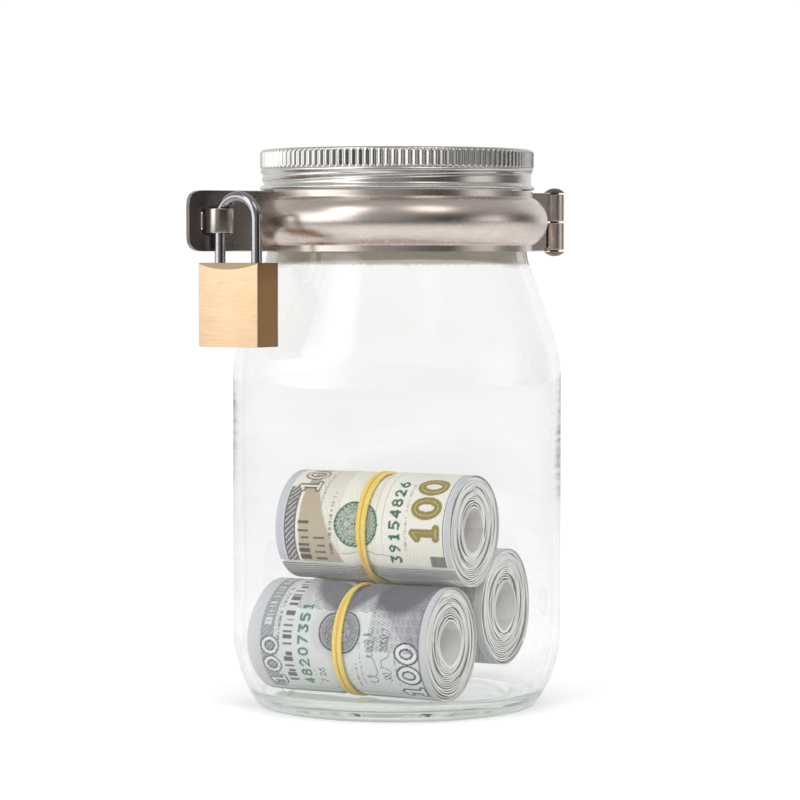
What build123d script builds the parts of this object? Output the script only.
from build123d import *
import math
import os

# Coin bank jar: a wide-mouth glass jar with a screw lid, a two-piece clamp ring round its neck
# that closes with a hasp and a padlock, and three rolls of notes inside.
# Frame: millimetres, +Z up, origin on the jar's axis at the level it stands on.
# The clamp ring parts in the plane Y = 0: its hasp is at -X and its hinge at +X.

os.makedirs("parts", exist_ok=True)

# ---- driving dimensions -------------------------------------------------------------------
# jar
BODY_R = 55.3
WALL = 3.2
HEEL_TOP_Z = 26.0
HEEL_R = 41.5
BASE_R = 46.4
BASE_RIM_IN_R = 38.0
BASE_PUSH_UP = 1.4
FLOOR_Z = 4.6
SHOULDER_Z = 110.0
SHOULDER_R = 48.0
SHOULDER_TURN = 19.3
NECK_R = 43.6
NECK_BORE_R = 40.2
NECK_Z = 151.8
BEAD_R = 47.4
BEAD_Z = 163.0
BEAD_HALF = 3.4
FINISH_Z = 172.0
FINISH_R = 42.0
MOUTH_Z = 183.8

# screw lid
LEAD = 8.0
BAND_R = 46.0
BAND_SKIRT_R = 45.1
BAND_IN_R = 44.45
HEM_R = 46.2
HEM_Z = 173.5
FLUTE_LOW_Z = 180.7
FLUTE_HIGH_Z = 186.2
FLUTE_COUNT = 124
FLUTE_R = 0.42
RIM_Z = 187.0
RIM_HOLE_R = 38.6
DISC_R = 43.9
DISC_T = 0.8
GASKET_T = 0.9
SLOT_LENGTH = 34.0
SLOT_WIDTH = 5.0
SLOT_LIP_W = 1.5
SLOT_LIP_H = 0.4
JAR_THREAD_R = 43.7
JAR_THREAD_TURNS = 0.88
BAND_THREAD_R = 43.0
BAND_THREAD_TURNS = 0.85
BAND_THREAD_ANGLE = 144.0
THREAD_ROOT_HALF = 1.15
THREAD_CREST_HALF = 0.5
THREAD_BITE = 0.5

# clamp ring
SHEET = 1.2
RING_LOW_Z = 153.0
RING_HIGH_Z = 173.0
RING_IN_R = 44.4
FLANGE_T = 1.2
BULGE_R = 50.7
BULGE_HALF = 7.8
PLATE_GAP = 0.15
TAB_X = -75.5
TAB_CORNER_R = 4.7
HINGE_X = 59.8
KNUCKLE_R = 3.35
KNUCKLE_GAP = 0.6
KNUCKLE_INSET = 0.5
PIN_R = 1.55
PIN_HOLE_R = 1.6
PIN_HEAD_R = 3.6
PIN_HEAD_T = 1.6
WINDOW_X = -66.0
WINDOW_W = 10.7
WINDOW_H = 9.1
WINDOW_CORNER_R = 0.8
LEG_X = -66.2
LEG_Y = -5.3
STAPLE_W = 8.2
STAPLE_H = 8.0
STAPLE_T = 1.0
STAPLE_OUT_Y = -9.6
STAPLE_BEND = 2.6
STAPLE_TENON_H = 5.0
STAPLE_END_Y = 2.0
TENON_PLAY = 0.3

# padlock; its own axes are u along the width, v along the thickness
LOCK_TURN = -60.0
LOCK_W = 24.3
LOCK_T = 12.4
LOCK_LOW_Z = 122.0
LOCK_HIGH_Z = 149.3
LEG_SPACING = 15.0
SHACKLE_R = 1.8
SHACKLE_HOLE_R = 1.95
BOW_Z = 163.2
TOE_Z = 142.3
HEEL_Z = 136.5
HEEL_HOLE_Z = 132.5
NECKED_R = 1.25
NECKED_LOW_Z = 138.0
NECKED_HIGH_Z = 147.8
HEEL_PIN_Z = 146.8
CROSS_PIN_R = 0.6
BOLT_Z = 144.8
BOLT_R = 1.5
BOLT_BORE_R = 1.6
BOLT_TRAVEL = 1.5
TOE_FLAT = 0.6
PLUG_R = 3.2
PLUG_BORE_R = 3.25
PLUG_TOP_Z = 139.0
CAM_R = 2.6
CAM_CHAMBER_R = 2.8
CAM_TOP_Z = 141.2
CAM_CHAMBER_Z = 144.5
CAM_PIN_R = 0.6
CAM_PIN_TOP_Z = 144.2
GROOVE_R = 2.6
RETAINER_Z = 136.0
CHAMBER_R = 0.9
TUMBLER_R = 0.85
TUMBLER_Z = [125.2, 127.5, 129.8]
KEY_PIN_LENGTHS = [2.1, 1.8, 2.0]

# rolls of notes and their bands
NOTE_W = 65.0
ROLL_TURN = -53.0
ROLL_GAP = 0.8
FRONT_ROLL_R = 18.8
BACK_ROLL_R = 19.7
TOP_ROLL_R = 18.6
FRONT_ROLL_AT = (-16.5, -9.5)
FRONT_ROLL_LIFT = 0.6
BACK_ROLL_Z = 32.6
BACK_ROLL_SHIFT = 1.8
TOP_ROLL_SHIFT = 2.8
NOTE_T = 0.35
NOTE_PLAY = 0.08
SHEET_COVERS = 348
WAIST_DEPTH = 1.1
WAIST_HALF = 5.5
RUBBER_W = 3.6
RUBBER_T = 1.35
RUBBER_CORNER_R = 0.5

# ---- derived values -----------------------------------------------------------------------
BULGE_Z = (RING_LOW_Z + RING_HIGH_Z) / 2
LOCK_RAD = math.radians(LOCK_TURN)
U = Vector(math.cos(LOCK_RAD), math.sin(LOCK_RAD), 0)
V = Vector(-math.sin(LOCK_RAD), math.cos(LOCK_RAD), 0)
LOCK_CENTRE = Vector(LEG_X, LEG_Y, 0) + U * (LEG_SPACING / 2)
TOE_U = -LEG_SPACING / 2
HEEL_U = LEG_SPACING / 2
CAM_PIN_THROW = BOLT_TRAVEL / math.sqrt(2)


def lock_level(z):
    """Horizontal plane at height z, centred on the padlock, X along its width."""
    return Plane(origin=LOCK_CENTRE + Vector(0, 0, z), x_dir=U, z_dir=(0, 0, 1))


def lock_across(u, z):
    """Plane facing along the padlock's width, at u, centred at height z."""
    return Plane(origin=LOCK_CENTRE + U * u + Vector(0, 0, z), x_dir=V, z_dir=U)


def lock_face(u, z):
    """Plane facing along the padlock's thickness, at its middle, centred at u and z."""
    return Plane(origin=LOCK_CENTRE + U * u + Vector(0, 0, z), x_dir=U, z_dir=-V)


def save(solid, name):
    """Label a finished piece and write its STEP file."""
    solid.label = name
    export_step(solid, "parts/" + name + ".step")


# ---- glass jar ----------------------------------------------------------------------------
heel_centre_r = BODY_R - HEEL_R
turn = math.radians(SHOULDER_TURN)
shoulder_mid_z = SHOULDER_Z + SHOULDER_R * math.sin(turn / 2)
shoulder_mid_r = BODY_R - SHOULDER_R * (1 - math.cos(turn / 2))
shoulder_end_z = SHOULDER_Z + SHOULDER_R * math.sin(turn)
shoulder_end_r = BODY_R - SHOULDER_R * (1 - math.cos(turn))
heel_low_z = 1.2
heel_low_r = heel_centre_r + math.sqrt(HEEL_R**2 - (HEEL_TOP_Z - heel_low_z) ** 2)
heel_mid_z = 11.0
heel_mid_r = heel_centre_r + math.sqrt(HEEL_R**2 - (HEEL_TOP_Z - heel_mid_z) ** 2)
inner_heel_r = HEEL_R - WALL
inner_low_z = FLOOR_Z + 2.4
inner_low_r = heel_centre_r + math.sqrt(inner_heel_r**2 - (HEEL_TOP_Z - inner_low_z) ** 2)
inner_mid_z = 14.0
inner_mid_r = heel_centre_r + math.sqrt(inner_heel_r**2 - (HEEL_TOP_Z - inner_mid_z) ** 2)
floor_r = inner_low_r - 5.0

with BuildPart() as jar:
    with BuildSketch(Plane.XZ):
        with BuildLine():
            Polyline((0, BASE_PUSH_UP), (BASE_RIM_IN_R - 4, BASE_PUSH_UP), (BASE_RIM_IN_R, 0))
            Line((BASE_RIM_IN_R, 0), (BASE_R - 0.8, 0))
            Line((BASE_R - 0.8, 0), (heel_low_r, heel_low_z))
            ThreePointArc((heel_low_r, heel_low_z), (heel_mid_r, heel_mid_z), (BODY_R, HEEL_TOP_Z))
            Line((BODY_R, HEEL_TOP_Z), (BODY_R, SHOULDER_Z))
            ThreePointArc(
                (BODY_R, SHOULDER_Z),
                (shoulder_mid_r, shoulder_mid_z),
                (shoulder_end_r, shoulder_end_z),
            )
            Line((shoulder_end_r, shoulder_end_z), (NECK_R, NECK_Z))
            Line((NECK_R, NECK_Z), (NECK_R, BEAD_Z - BEAD_HALF))
            ThreePointArc(
                (NECK_R, BEAD_Z - BEAD_HALF), (BEAD_R, BEAD_Z), (NECK_R, BEAD_Z + BEAD_HALF)
            )
            Polyline(
                (NECK_R, BEAD_Z + BEAD_HALF),
                (NECK_R, FINISH_Z),
                (FINISH_R, FINISH_Z + 1.6),
                (FINISH_R, MOUTH_Z - 1.0),
                (FINISH_R - 1.0, MOUTH_Z),
                (NECK_BORE_R - 0.4, MOUTH_Z),
                (NECK_BORE_R - 0.4 - 0.6, MOUTH_Z - 0.6),
                (NECK_BORE_R - 1.0, FINISH_Z + 2.0),
                (NECK_BORE_R, FINISH_Z - 2.0),
                (NECK_BORE_R, NECK_Z - 1.5),
                (shoulder_end_r - WALL, shoulder_end_z - 1.0),
            )
            Spline(
                (shoulder_end_r - WALL, shoulder_end_z - 1.0),
                (shoulder_mid_r - WALL, shoulder_mid_z - 0.4),
                (BODY_R - WALL, SHOULDER_Z),
                tangents=[
                    (math.sin(turn), -math.cos(turn)),
                    (0, -1),
                ],
            )
            Line((BODY_R - WALL, SHOULDER_Z), (BODY_R - WALL, HEEL_TOP_Z))
            ThreePointArc(
                (BODY_R - WALL, HEEL_TOP_Z), (inner_mid_r, inner_mid_z), (inner_low_r, inner_low_z)
            )
            ThreePointArc(
                (inner_low_r, inner_low_z),
                (inner_low_r - 1.9, inner_low_z - 1.55),
                (floor_r, FLOOR_Z),
            )
            Line((floor_r, FLOOR_Z), (0, FLOOR_Z))
            Line((0, FLOOR_Z), (0, BASE_PUSH_UP))
        make_face()
    revolve(axis=Axis.Z)
    thread_low_z = FINISH_Z + 3.0
    with BuildLine() as jar_thread_path:
        Helix(
            pitch=LEAD,
            height=LEAD * JAR_THREAD_TURNS,
            radius=FINISH_R,
            center=(0, 0, thread_low_z),
        )
    jar_thread_start = Plane(
        origin=jar_thread_path.line @ 0, x_dir=(1, 0, 0), z_dir=jar_thread_path.line % 0
    )
    with BuildSketch(jar_thread_start):
        Polygon(
            (-THREAD_BITE, -THREAD_ROOT_HALF),
            (0.2, -THREAD_ROOT_HALF),
            (JAR_THREAD_R - FINISH_R, -THREAD_CREST_HALF),
            (JAR_THREAD_R - FINISH_R, THREAD_CREST_HALF),
            (0.2, THREAD_ROOT_HALF),
            (-THREAD_BITE, THREAD_ROOT_HALF),
            align=None,
        )
    sweep(path=jar_thread_path.line, is_frenet=True)
save(jar.part, "glass_jar")

# ---- lid: screw band, disc, gasket --------------------------------------------------------
disc_low_z = MOUTH_Z + GASKET_T + 0.1
band_thread_low_z = HEM_Z + 1.9

with BuildPart() as band:
    with BuildSketch(Plane.XZ):
        with BuildLine():
            Polyline(
                (RIM_HOLE_R, RIM_Z),
                (BAND_R - 0.9, RIM_Z),
                (BAND_R - 0.3, RIM_Z - 0.8),
                (BAND_R - 0.3, FLUTE_LOW_Z - 0.1),
                (BAND_R - 0.1, FLUTE_LOW_Z - 0.8),
                (BAND_SKIRT_R, FLUTE_LOW_Z - 2.6),
                (BAND_SKIRT_R, HEM_Z + 1.6),
                (HEM_R, HEM_Z + 0.7),
                (HEM_R, HEM_Z),
                (BAND_IN_R, HEM_Z),
                (BAND_IN_R, RIM_Z - 1.0),
                (RIM_HOLE_R, RIM_Z - 0.6),
                close=True,
            )
        make_face()
    revolve(axis=Axis.Z)
    with BuildSketch(Plane.XY.offset(FLUTE_LOW_Z)):
        with PolarLocations(BAND_R - FLUTE_R, FLUTE_COUNT):
            Circle(FLUTE_R)
    extrude(amount=FLUTE_HIGH_Z - FLUTE_LOW_Z)
    with BuildLine() as band_thread_path:
        Helix(
            pitch=LEAD,
            height=LEAD * BAND_THREAD_TURNS,
            radius=BAND_IN_R,
            center=(0, 0, band_thread_low_z),
        )
    band_thread_start = Plane(
        origin=band_thread_path.line @ 0, x_dir=(1, 0, 0), z_dir=band_thread_path.line % 0
    )
    with BuildSketch(band_thread_start):
        Polygon(
            (0.35, -1.1),
            (-0.2, -1.1),
            (BAND_THREAD_R - BAND_IN_R, -0.45),
            (BAND_THREAD_R - BAND_IN_R, 0.45),
            (-0.2, 1.1),
            (0.35, 1.1),
            align=None,
        )
    sweep(path=band_thread_path.line, is_frenet=True)
band_solid = band.part.rotate(Axis.Z, BAND_THREAD_ANGLE)
save(band_solid, "lid_band")

with BuildPart() as disc:
    with BuildSketch(Plane.XY.offset(disc_low_z)):
        Circle(DISC_R)
        SlotOverall(SLOT_LENGTH, SLOT_WIDTH, mode=Mode.SUBTRACT)
    extrude(amount=DISC_T)
    with BuildSketch(Plane.XY.offset(disc_low_z + DISC_T)):
        SlotOverall(SLOT_LENGTH + 2 * SLOT_LIP_W, SLOT_WIDTH + 2 * SLOT_LIP_W)
        SlotOverall(SLOT_LENGTH, SLOT_WIDTH, mode=Mode.SUBTRACT)
    extrude(amount=SLOT_LIP_H)
save(disc.part, "lid_disc")

with BuildPart() as gasket:
    with BuildSketch(Plane.XY.offset(MOUTH_Z + 0.05)):
        Circle(FINISH_R)
        Circle(NECK_BORE_R - 0.6, mode=Mode.SUBTRACT)
    extrude(amount=GASKET_T)
save(gasket.part, "lid_gasket")

# ---- clamp ring ---------------------------------------------------------------------------
leaf_x = HINGE_X - KNUCKLE_R - 0.4
ring_height = RING_HIGH_Z - RING_LOW_Z
bead_clear_r = BEAD_R + 0.7
slot_x = [LEG_X - (STAPLE_W - STAPLE_T) / 2, LEG_X + (STAPLE_W - STAPLE_T) / 2]


def clamp_half(side, knuckle_low_z, knuckle_high_z):
    """One half ring with its tab and its hinge leaf; side is -1 in front, +1 behind."""
    plate_y = side * (PLATE_GAP + SHEET / 2)
    with BuildPart() as half:
        # half-round band with flat flanges, turned through the half circle
        with BuildSketch(Plane.XZ):
            with BuildLine():
                outer = RING_IN_R + FLANGE_T
                inner_half = BULGE_HALF - SHEET
                Line((RING_IN_R, RING_LOW_Z), (outer, RING_LOW_Z))
                Line((outer, RING_LOW_Z), (outer, BULGE_Z - BULGE_HALF))
                ThreePointArc(
                    (outer, BULGE_Z - BULGE_HALF),
                    (BULGE_R, BULGE_Z),
                    (outer, BULGE_Z + BULGE_HALF),
                )
                Line((outer, BULGE_Z + BULGE_HALF), (outer, RING_HIGH_Z))
                Line((outer, RING_HIGH_Z), (RING_IN_R, RING_HIGH_Z))
                Line((RING_IN_R, RING_HIGH_Z), (RING_IN_R, BULGE_Z + inner_half))
                ThreePointArc(
                    (RING_IN_R, BULGE_Z + inner_half),
                    (BULGE_R - SHEET, BULGE_Z),
                    (RING_IN_R, BULGE_Z - inner_half),
                )
                Line((RING_IN_R, BULGE_Z - inner_half), (RING_IN_R, RING_LOW_Z))
            make_face()
        revolve(axis=Axis.Z)
        keep = Plane(origin=(0, side * PLATE_GAP, 0), z_dir=(0, side, 0))
        split(bisect_by=keep, keep=Keep.TOP)
        # hasp tab with rounded free corners
        with BuildSketch(Plane.XZ.offset(-plate_y)):
            with Locations(((TAB_X - BULGE_R + 2.0) / 2, BULGE_Z)):
                Rectangle(-TAB_X - BULGE_R + 2.0, ring_height)
            far = vertices().group_by(Axis.X)[0]
            fillet(far, TAB_CORNER_R)
        extrude(amount=SHEET / 2, both=True)
        # end walls that close the band at the tab and at the leaf, cut out round the neck's bead
        with BuildSketch(Plane.XZ.offset(-plate_y)):
            for end in (-1, 1):
                with Locations((end * (RING_IN_R + 0.2 + BULGE_R - 1) / 2, BULGE_Z)):
                    Rectangle(BULGE_R - 1 - RING_IN_R - 0.2, ring_height)
            for end in (-1, 1):
                with Locations((end * (bead_clear_r - 3), BULGE_Z)):
                    Rectangle(6, 2 * (BEAD_HALF + 0.6), mode=Mode.SUBTRACT)
        extrude(amount=SHEET / 2, both=True)
        # hinge leaf: full height near the band, only the knuckle's height beside the pin
        with BuildSketch(Plane.XZ.offset(-plate_y)):
            with Locations(((BULGE_R - 1.5 + leaf_x) / 2, BULGE_Z)):
                Rectangle(leaf_x - BULGE_R + 1.5, ring_height)
            with Locations(((leaf_x + HINGE_X) / 2, (knuckle_low_z + knuckle_high_z) / 2)):
                Rectangle(HINGE_X - leaf_x, knuckle_high_z - knuckle_low_z)
        extrude(amount=SHEET / 2, both=True)
        with BuildSketch(Plane.XY.offset(knuckle_low_z)):
            with Locations((HINGE_X, 0)):
                Circle(KNUCKLE_R)
        extrude(amount=knuckle_high_z - knuckle_low_z)
        with BuildSketch(Plane.XY.offset(RING_LOW_Z)):
            with Locations((HINGE_X, 0)):
                Circle(PIN_HOLE_R)
        extrude(amount=ring_height, mode=Mode.SUBTRACT)
        if side < 0:
            # window that the staple comes through
            with BuildSketch(Plane.XZ.offset(-plate_y)):
                with Locations((WINDOW_X, BULGE_Z)):
                    RectangleRounded(WINDOW_W, WINDOW_H, WINDOW_CORNER_R)
            extrude(amount=SHEET, both=True, mode=Mode.SUBTRACT)
        else:
            # slots for the staple's tenons
            with BuildSketch(Plane.XZ.offset(-plate_y)):
                with Locations(*[(x, BULGE_Z) for x in slot_x]):
                    Rectangle(STAPLE_T + 2 * TENON_PLAY, STAPLE_TENON_H + 2 * TENON_PLAY)
            extrude(amount=SHEET, both=True, mode=Mode.SUBTRACT)
    return half.part


clamp_front = clamp_half(-1, BULGE_Z + KNUCKLE_GAP / 2, RING_HIGH_Z - KNUCKLE_INSET)
save(clamp_front, "clamp_front")
clamp_back = clamp_half(1, RING_LOW_Z + KNUCKLE_INSET, BULGE_Z - KNUCKLE_GAP / 2)
save(clamp_back, "clamp_back")

pin_low_z = RING_LOW_Z - 0.1
pin_high_z = RING_HIGH_Z + 0.1
dome_r = (PIN_HEAD_R**2 + PIN_HEAD_T**2) / (2 * PIN_HEAD_T)
dome_mid_r = PIN_HEAD_R / 2
dome_mid_h = PIN_HEAD_T - dome_r + math.sqrt(dome_r**2 - dome_mid_r**2)
with BuildPart() as hinge_pin:
    with BuildSketch(Plane(origin=(HINGE_X, 0, 0), x_dir=(1, 0, 0), z_dir=(0, -1, 0))):
        with BuildLine():
            Line((0, pin_low_z - PIN_HEAD_T), (0, pin_high_z + PIN_HEAD_T))
            ThreePointArc(
                (0, pin_high_z + PIN_HEAD_T),
                (dome_mid_r, pin_high_z + dome_mid_h),
                (PIN_HEAD_R, pin_high_z),
            )
            Polyline(
                (PIN_HEAD_R, pin_high_z),
                (PIN_R, pin_high_z),
                (PIN_R, pin_low_z),
                (PIN_HEAD_R, pin_low_z),
            )
            ThreePointArc(
                (PIN_HEAD_R, pin_low_z),
                (dome_mid_r, pin_low_z - dome_mid_h),
                (0, pin_low_z - PIN_HEAD_T),
            )
        make_face()
    revolve(axis=Axis((HINGE_X, 0, 0), (0, 0, 1)))
save(hinge_pin.part, "hinge_pin")

# the staple: a strap bent round the padlock's leg, with a tenon on each end
with BuildPart() as staple:
    with BuildSketch(Plane.XY.offset(BULGE_Z - STAPLE_H / 2)):
        with BuildLine():
            half_w = STAPLE_W / 2
            bend = STAPLE_BEND
            left = LEG_X - half_w
            right = LEG_X + half_w
            foot_y = -0.1
            diagonal = bend * (1 - math.sqrt(0.5))
            Line((left, foot_y), (left, STAPLE_OUT_Y + bend))
            ThreePointArc(
                (left, STAPLE_OUT_Y + bend),
                (left + diagonal, STAPLE_OUT_Y + diagonal),
                (left + bend, STAPLE_OUT_Y),
            )
            Line((left + bend, STAPLE_OUT_Y), (right - bend, STAPLE_OUT_Y))
            ThreePointArc(
                (right - bend, STAPLE_OUT_Y),
                (right - diagonal, STAPLE_OUT_Y + diagonal),
                (right, STAPLE_OUT_Y + bend),
            )
            Line((right, STAPLE_OUT_Y + bend), (right, foot_y))
            Line((right, foot_y), (right - STAPLE_T, foot_y))
            inner = bend - STAPLE_T
            inner_diagonal = STAPLE_T + inner * (1 - math.sqrt(0.5))
            Line((right - STAPLE_T, foot_y), (right - STAPLE_T, STAPLE_OUT_Y + bend))
            ThreePointArc(
                (right - STAPLE_T, STAPLE_OUT_Y + bend),
                (right - inner_diagonal, STAPLE_OUT_Y + inner_diagonal),
                (right - bend, STAPLE_OUT_Y + STAPLE_T),
            )
            Line((right - bend, STAPLE_OUT_Y + STAPLE_T), (left + bend, STAPLE_OUT_Y + STAPLE_T))
            ThreePointArc(
                (left + bend, STAPLE_OUT_Y + STAPLE_T),
                (left + inner_diagonal, STAPLE_OUT_Y + inner_diagonal),
                (left + STAPLE_T, STAPLE_OUT_Y + bend),
            )
            Line((left + STAPLE_T, STAPLE_OUT_Y + bend), (left + STAPLE_T, foot_y))
            Line((left + STAPLE_T, foot_y), (left, foot_y))
        make_face()
    extrude(amount=STAPLE_H)
    with BuildSketch(Plane.XY.offset(BULGE_Z - STAPLE_TENON_H / 2)):
        with Locations(*[(x, (STAPLE_END_Y + foot_y) / 2) for x in slot_x]):
            Rectangle(STAPLE_T, STAPLE_END_Y - foot_y)
    extrude(amount=STAPLE_TENON_H)
save(staple.part, "hasp_staple")

# ---- padlock ------------------------------------------------------------------------------
lock_height = LOCK_HIGH_Z - LOCK_LOW_Z
heel_pin_u = HEEL_U + NECKED_R + CROSS_PIN_R + 0.15
retainer_u = -(GROOVE_R + CROSS_PIN_R + 0.1)
bolt_nose_u = TOE_U + TOE_FLAT + 0.2
bolt_back_u = 3.0
bolt_bore_end_u = 5.2
case_side_u = LOCK_W / 2
case_face_v = LOCK_T / 2

with BuildPart() as case:
    with BuildSketch(lock_level(LOCK_LOW_Z)):
        RectangleRounded(LOCK_W, LOCK_T, 1.0)
    extrude(amount=lock_height)
    # bevel along the top edge of both faces
    top_edges = case.faces().sort_by(Axis.Z)[-1].edges()
    chamfer(top_edges.filter_by(lambda edge: edge.length > LOCK_W / 2), length=1.0)
    # shackle holes
    with BuildSketch(lock_level(LOCK_HIGH_Z)):
        with Locations((TOE_U, 0)):
            Circle(SHACKLE_HOLE_R)
    extrude(amount=-(LOCK_HIGH_Z - TOE_Z + 0.4), mode=Mode.SUBTRACT)
    with BuildSketch(lock_level(LOCK_HIGH_Z)):
        with Locations((HEEL_U, 0)):
            Circle(SHACKLE_HOLE_R)
    extrude(amount=-(LOCK_HIGH_Z - HEEL_HOLE_Z), mode=Mode.SUBTRACT)
    # bore of the key plug and the cam's chamber above it
    with BuildSketch(lock_level(LOCK_LOW_Z)):
        Circle(PLUG_BORE_R)
    extrude(amount=PLUG_TOP_Z + 0.1 - LOCK_LOW_Z, mode=Mode.SUBTRACT)
    with BuildSketch(lock_level(LOCK_LOW_Z + 1)):
        Circle(CAM_CHAMBER_R)
    extrude(amount=CAM_CHAMBER_Z - LOCK_LOW_Z - 1, mode=Mode.SUBTRACT)
    # cross bore of the bolt, drilled from the toe's side
    with BuildSketch(lock_across(-case_side_u - 1, BOLT_Z)):
        Circle(BOLT_BORE_R)
    extrude(amount=case_side_u + 1 + bolt_bore_end_u, mode=Mode.SUBTRACT)
    # chambers of the tumblers, drilled from the heel's side
    for z in TUMBLER_Z:
        with BuildSketch(lock_across(1.0, z)):
            Circle(CHAMBER_R)
        extrude(amount=case_side_u + 1, mode=Mode.SUBTRACT)
    # cross holes of the two retaining pins
    with BuildSketch(lock_face(heel_pin_u, HEEL_PIN_Z)):
        Circle(CROSS_PIN_R + 0.05)
    extrude(amount=case_face_v + 1, both=True, mode=Mode.SUBTRACT)
    with BuildSketch(lock_face(retainer_u, RETAINER_Z)):
        Circle(CROSS_PIN_R + 0.05)
    extrude(amount=case_face_v + 1, both=True, mode=Mode.SUBTRACT)
save(case.part, "padlock_case")

with BuildPart() as shackle:
    with BuildLine() as bow:
        toe = LOCK_CENTRE + U * TOE_U
        heel = LOCK_CENTRE + U * HEEL_U
        top = LOCK_CENTRE + Vector(0, 0, BOW_Z + LEG_SPACING / 2)
        toe_top = toe + Vector(0, 0, BOW_Z)
        heel_top = heel + Vector(0, 0, BOW_Z)
        Line(toe + Vector(0, 0, TOE_Z), toe_top)
        ThreePointArc(toe_top, top, heel_top)
        Line(heel_top, heel + Vector(0, 0, HEEL_Z))
    with BuildSketch(Plane(origin=toe + Vector(0, 0, TOE_Z), x_dir=U, z_dir=(0, 0, 1))):
        Circle(SHACKLE_R)
    sweep(path=bow.line)
    # flat on the toe, open to its tip, that the bolt's nose sits against
    with BuildSketch(lock_level(TOE_Z - 1)):
        with Locations((TOE_U + TOE_FLAT + 1.5, 0)):
            Rectangle(3.0, 2 * SHACKLE_R + 1)
    extrude(amount=BOLT_Z + BOLT_R + 0.25 - TOE_Z + 1, mode=Mode.SUBTRACT)
    # turned-down neck on the heel leg, the pop travel long
    with BuildSketch(lock_level(NECKED_LOW_Z)):
        with Locations((HEEL_U, 0)):
            Circle(SHACKLE_R + 0.5)
            Circle(NECKED_R, mode=Mode.SUBTRACT)
    extrude(amount=NECKED_HIGH_Z - NECKED_LOW_Z, mode=Mode.SUBTRACT)
save(shackle.part, "padlock_shackle")

with BuildPart() as plug:
    with BuildSketch(lock_level(LOCK_LOW_Z + 0.2)):
        Circle(PLUG_R)
    extrude(amount=PLUG_TOP_Z - LOCK_LOW_Z - 0.2)
    with BuildSketch(lock_level(RETAINER_Z - CROSS_PIN_R - 0.1)):
        Circle(PLUG_R + 0.5)
        Circle(GROOVE_R, mode=Mode.SUBTRACT)
    extrude(amount=2 * CROSS_PIN_R + 0.2, mode=Mode.SUBTRACT)
    with BuildSketch(lock_level(LOCK_LOW_Z)):
        Rectangle(4.6, 1.2)
    extrude(amount=11.0, mode=Mode.SUBTRACT)
    for z in TUMBLER_Z:
        with BuildSketch(lock_across(0.8, z)):
            Circle(CHAMBER_R)
        extrude(amount=3.0, mode=Mode.SUBTRACT)
save(plug.part, "padlock_plug")

with BuildPart() as cam:
    with BuildSketch(lock_level(PLUG_TOP_Z)):
        Circle(CAM_R)
    extrude(amount=CAM_TOP_Z - PLUG_TOP_Z)
    with BuildSketch(lock_level(CAM_TOP_Z)):
        with Locations((-CAM_PIN_THROW * math.sqrt(0.5), -CAM_PIN_THROW * math.sqrt(0.5))):
            Circle(CAM_PIN_R)
    extrude(amount=CAM_PIN_TOP_Z - CAM_TOP_Z)
save(cam.part, "plug_cam")

with BuildPart() as bolt:
    with BuildSketch(lock_across(bolt_nose_u, BOLT_Z)):
        Circle(BOLT_R)
    extrude(amount=bolt_back_u - bolt_nose_u)
    # cross slot underneath for the cam's pin
    with BuildSketch(lock_level(BOLT_Z - BOLT_R - 0.2)):
        with Locations((-BOLT_TRAVEL / 2, 0)):
            Rectangle(2 * CAM_PIN_R + 0.3, 4.0)
    extrude(amount=CAM_PIN_TOP_Z + 0.15 - (BOLT_Z - BOLT_R - 0.2), mode=Mode.SUBTRACT)
save(bolt.part, "latch_bolt")

with BuildPart() as bore_plug:
    with BuildSketch(lock_across(-case_side_u + 0.3, BOLT_Z)):
        Circle(BOLT_BORE_R - 0.02)
    extrude(amount=1.8)
save(bore_plug.part, "latch_bore_plug")

with BuildPart() as heel_pin:
    with BuildSketch(lock_face(heel_pin_u, HEEL_PIN_Z)):
        Circle(CROSS_PIN_R)
    extrude(amount=case_face_v - 0.4, both=True)
save(heel_pin.part, "heel_pin")

with BuildPart() as retainer:
    with BuildSketch(lock_face(retainer_u, RETAINER_Z)):
        Circle(CROSS_PIN_R)
    extrude(amount=case_face_v - 0.4, both=True)
save(retainer.part, "plug_retaining_pin")


def coil_spring(start, direction, length, turns, radius, wire_r):
    """Open coil of round wire from a start point along a direction."""
    with BuildPart() as spring:
        with BuildLine() as coil:
            Helix(
                pitch=(length - 2 * wire_r) / turns,
                height=length - 2 * wire_r,
                radius=radius,
                center=Vector(start) + Vector(direction) * wire_r,
                direction=direction,
            )
        with BuildSketch(Plane(origin=coil.line @ 0, z_dir=coil.line % 0)):
            Circle(wire_r)
        sweep(path=coil.line, is_frenet=True)
    return spring.part


shackle_spring_start = LOCK_CENTRE + U * HEEL_U + Vector(0, 0, HEEL_HOLE_Z + 0.1)
shackle_spring = coil_spring(
    shackle_spring_start, (0, 0, 1), HEEL_Z - HEEL_HOLE_Z - 0.2, 4, 1.4, 0.3
)
save(shackle_spring, "shackle_spring")

latch_spring_start = LOCK_CENTRE + U * (bolt_back_u + 0.05) + Vector(0, 0, BOLT_Z)
latch_spring = coil_spring(
    latch_spring_start, U, bolt_bore_end_u - bolt_back_u - 0.1, 3, 1.1, 0.2
)
save(latch_spring, "latch_spring")

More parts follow.
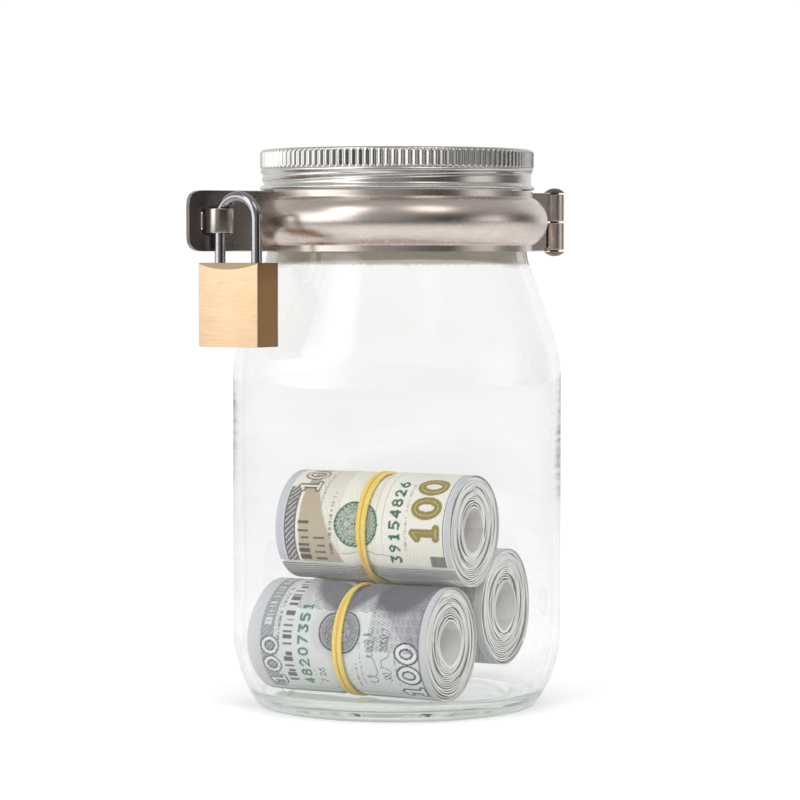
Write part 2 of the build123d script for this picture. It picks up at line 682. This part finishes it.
shear_u = PLUG_R + 0.12
driver_length = 2.6
spring_length = 4.4
key_pins = []
driver_pins = []
pin_springs = []
chamber_plugs = []
for z, key_length in zip(TUMBLER_Z, KEY_PIN_LENGTHS):
    with BuildPart() as key_pin:
        with BuildSketch(lock_across(PLUG_R - 0.08 - key_length, z)):
            Circle(TUMBLER_R)
        extrude(amount=key_length)
    key_pins.append(key_pin.part)
    with BuildPart() as driver_pin:
        with BuildSketch(lock_across(shear_u, z)):
            Circle(TUMBLER_R)
        extrude(amount=driver_length)
    driver_pins.append(driver_pin.part)
    spring_start = LOCK_CENTRE + U * (shear_u + driver_length + 0.05) + Vector(0, 0, z)
    pin_springs.append(coil_spring(spring_start, U, spring_length, 5, 0.6, 0.15))
    with BuildPart() as chamber_plug:
        with BuildSketch(lock_across(shear_u + driver_length + spring_length + 0.1, z)):
            Circle(CHAMBER_R - 0.02)
        extrude(amount=1.4)
    chamber_plugs.append(chamber_plug.part)
save(Compound(children=key_pins), "key_pins")
save(Compound(children=driver_pins), "driver_pins")
save(Compound(children=pin_springs), "pin_springs")
save(Compound(children=chamber_plugs), "chamber_plugs")

# ---- rolls of notes -----------------------------------------------------------------------
ROLL_RAD = math.radians(ROLL_TURN)
ALONG = Vector(math.cos(ROLL_RAD), math.sin(ROLL_RAD), 0)
ACROSS = Vector(-math.sin(ROLL_RAD), math.cos(ROLL_RAD), 0)

front_z = FLOOR_Z + FRONT_ROLL_LIFT + FRONT_ROLL_R
front_at = Vector(FRONT_ROLL_AT[0], FRONT_ROLL_AT[1], front_z)
front_to_back = FRONT_ROLL_R + BACK_ROLL_R + ROLL_GAP
back_rise = BACK_ROLL_Z - front_z
back_across = math.sqrt(front_to_back**2 - back_rise**2)
back_at = front_at + ACROSS * back_across + ALONG * BACK_ROLL_SHIFT + Vector(0, 0, back_rise)
# the top roll lies in the valley: a triangle of centre distances
front_to_top = FRONT_ROLL_R + TOP_ROLL_R + ROLL_GAP
back_to_top = BACK_ROLL_R + TOP_ROLL_R + ROLL_GAP
foot = (front_to_top**2 - back_to_top**2 + front_to_back**2) / (2 * front_to_back)
height = math.sqrt(front_to_top**2 - foot**2)
tilt = math.asin(back_rise / front_to_back)
top_across = foot * math.cos(tilt) - height * math.sin(tilt)
top_rise = foot * math.sin(tilt) + height * math.cos(tilt)
top_at = front_at + ACROSS * top_across + ALONG * TOP_ROLL_SHIFT + Vector(0, 0, top_rise)


def waisted_profile(inner_r, outer_r, dip_inner):
    """Half section of a roll that the band pinches: X along the roll, Y outwards."""
    half = NOTE_W / 2
    with BuildLine() as outline:
        Line((-half, inner_r), (-half, outer_r))
        Line((-half, outer_r), (-WAIST_HALF, outer_r))
        Spline(
            (-WAIST_HALF, outer_r),
            (-RUBBER_W / 2 - 0.1, outer_r - WAIST_DEPTH),
            tangents=[(1, 0), (1, 0)],
        )
        Line(
            (-RUBBER_W / 2 - 0.1, outer_r - WAIST_DEPTH), (RUBBER_W / 2 + 0.1, outer_r - WAIST_DEPTH)
        )
        Spline(
            (RUBBER_W / 2 + 0.1, outer_r - WAIST_DEPTH),
            (WAIST_HALF, outer_r),
            tangents=[(1, 0), (1, 0)],
        )
        Line((WAIST_HALF, outer_r), (half, outer_r))
        Line((half, outer_r), (half, inner_r))
        if dip_inner:
            Line((half, inner_r), (WAIST_HALF, inner_r))
            Spline(
                (WAIST_HALF, inner_r),
                (RUBBER_W / 2 + 0.1, inner_r - WAIST_DEPTH),
                tangents=[(-1, 0), (-1, 0)],
            )
            Line(
                (RUBBER_W / 2 + 0.1, inner_r - WAIST_DEPTH),
                (-RUBBER_W / 2 - 0.1, inner_r - WAIST_DEPTH),
            )
            Spline(
                (-RUBBER_W / 2 - 0.1, inner_r - WAIST_DEPTH),
                (-WAIST_HALF, inner_r),
                tangents=[(-1, 0), (-1, 0)],
            )
            Line((-WAIST_HALF, inner_r), (-half, inner_r))
        else:
            Line((half, inner_r), (-half, inner_r))
    return outline.line


def build_roll(name, centre, radius, core, free_edge):
    """A roll's inner notes, its outermost note and its rubber band."""
    radial = Plane(origin=centre, x_dir=ALONG, z_dir=ACROSS)
    edge_turn = math.radians(free_edge)
    facing = ACROSS * math.cos(edge_turn) + Vector(0, 0, 1) * math.sin(edge_turn)
    start = Plane(origin=centre, x_dir=ALONG, z_dir=facing)
    axis = Axis(centre, ALONG)
    pack_r = radius - NOTE_T - NOTE_PLAY
    with BuildPart() as pack:
        with BuildSketch(radial):
            add(waisted_profile(0, pack_r, False))
            make_face()
        revolve(axis=axis)
        with BuildSketch(Plane(origin=centre, x_dir=ACROSS, z_dir=ALONG)):
            Ellipse(core[0], core[1], rotation=core[2])
        extrude(amount=NOTE_W, both=True, mode=Mode.SUBTRACT)
    save(pack.part, "note_roll_" + name)
    with BuildPart() as sheet:
        with BuildSketch(start):
            add(waisted_profile(radius - NOTE_T, radius, True))
            make_face()
        revolve(axis=axis, revolution_arc=SHEET_COVERS)
    save(sheet.part, "outer_note_" + name)
    waist_r = radius - WAIST_DEPTH + 0.06
    with BuildPart() as rubber:
        with BuildSketch(radial):
            with Locations((0, waist_r + RUBBER_T / 2)):
                RectangleRounded(RUBBER_W, RUBBER_T, RUBBER_CORNER_R)
        revolve(axis=axis)
    save(rubber.part, "rubber_band_" + name)


build_roll("front", front_at, FRONT_ROLL_R, (7.6, 6.6, 30), -12)
build_roll("back", back_at, BACK_ROLL_R, (7.0, 8.0, 20), 60)
build_roll("top", top_at, TOP_ROLL_R, (6.2, 7.4, 15), -42)
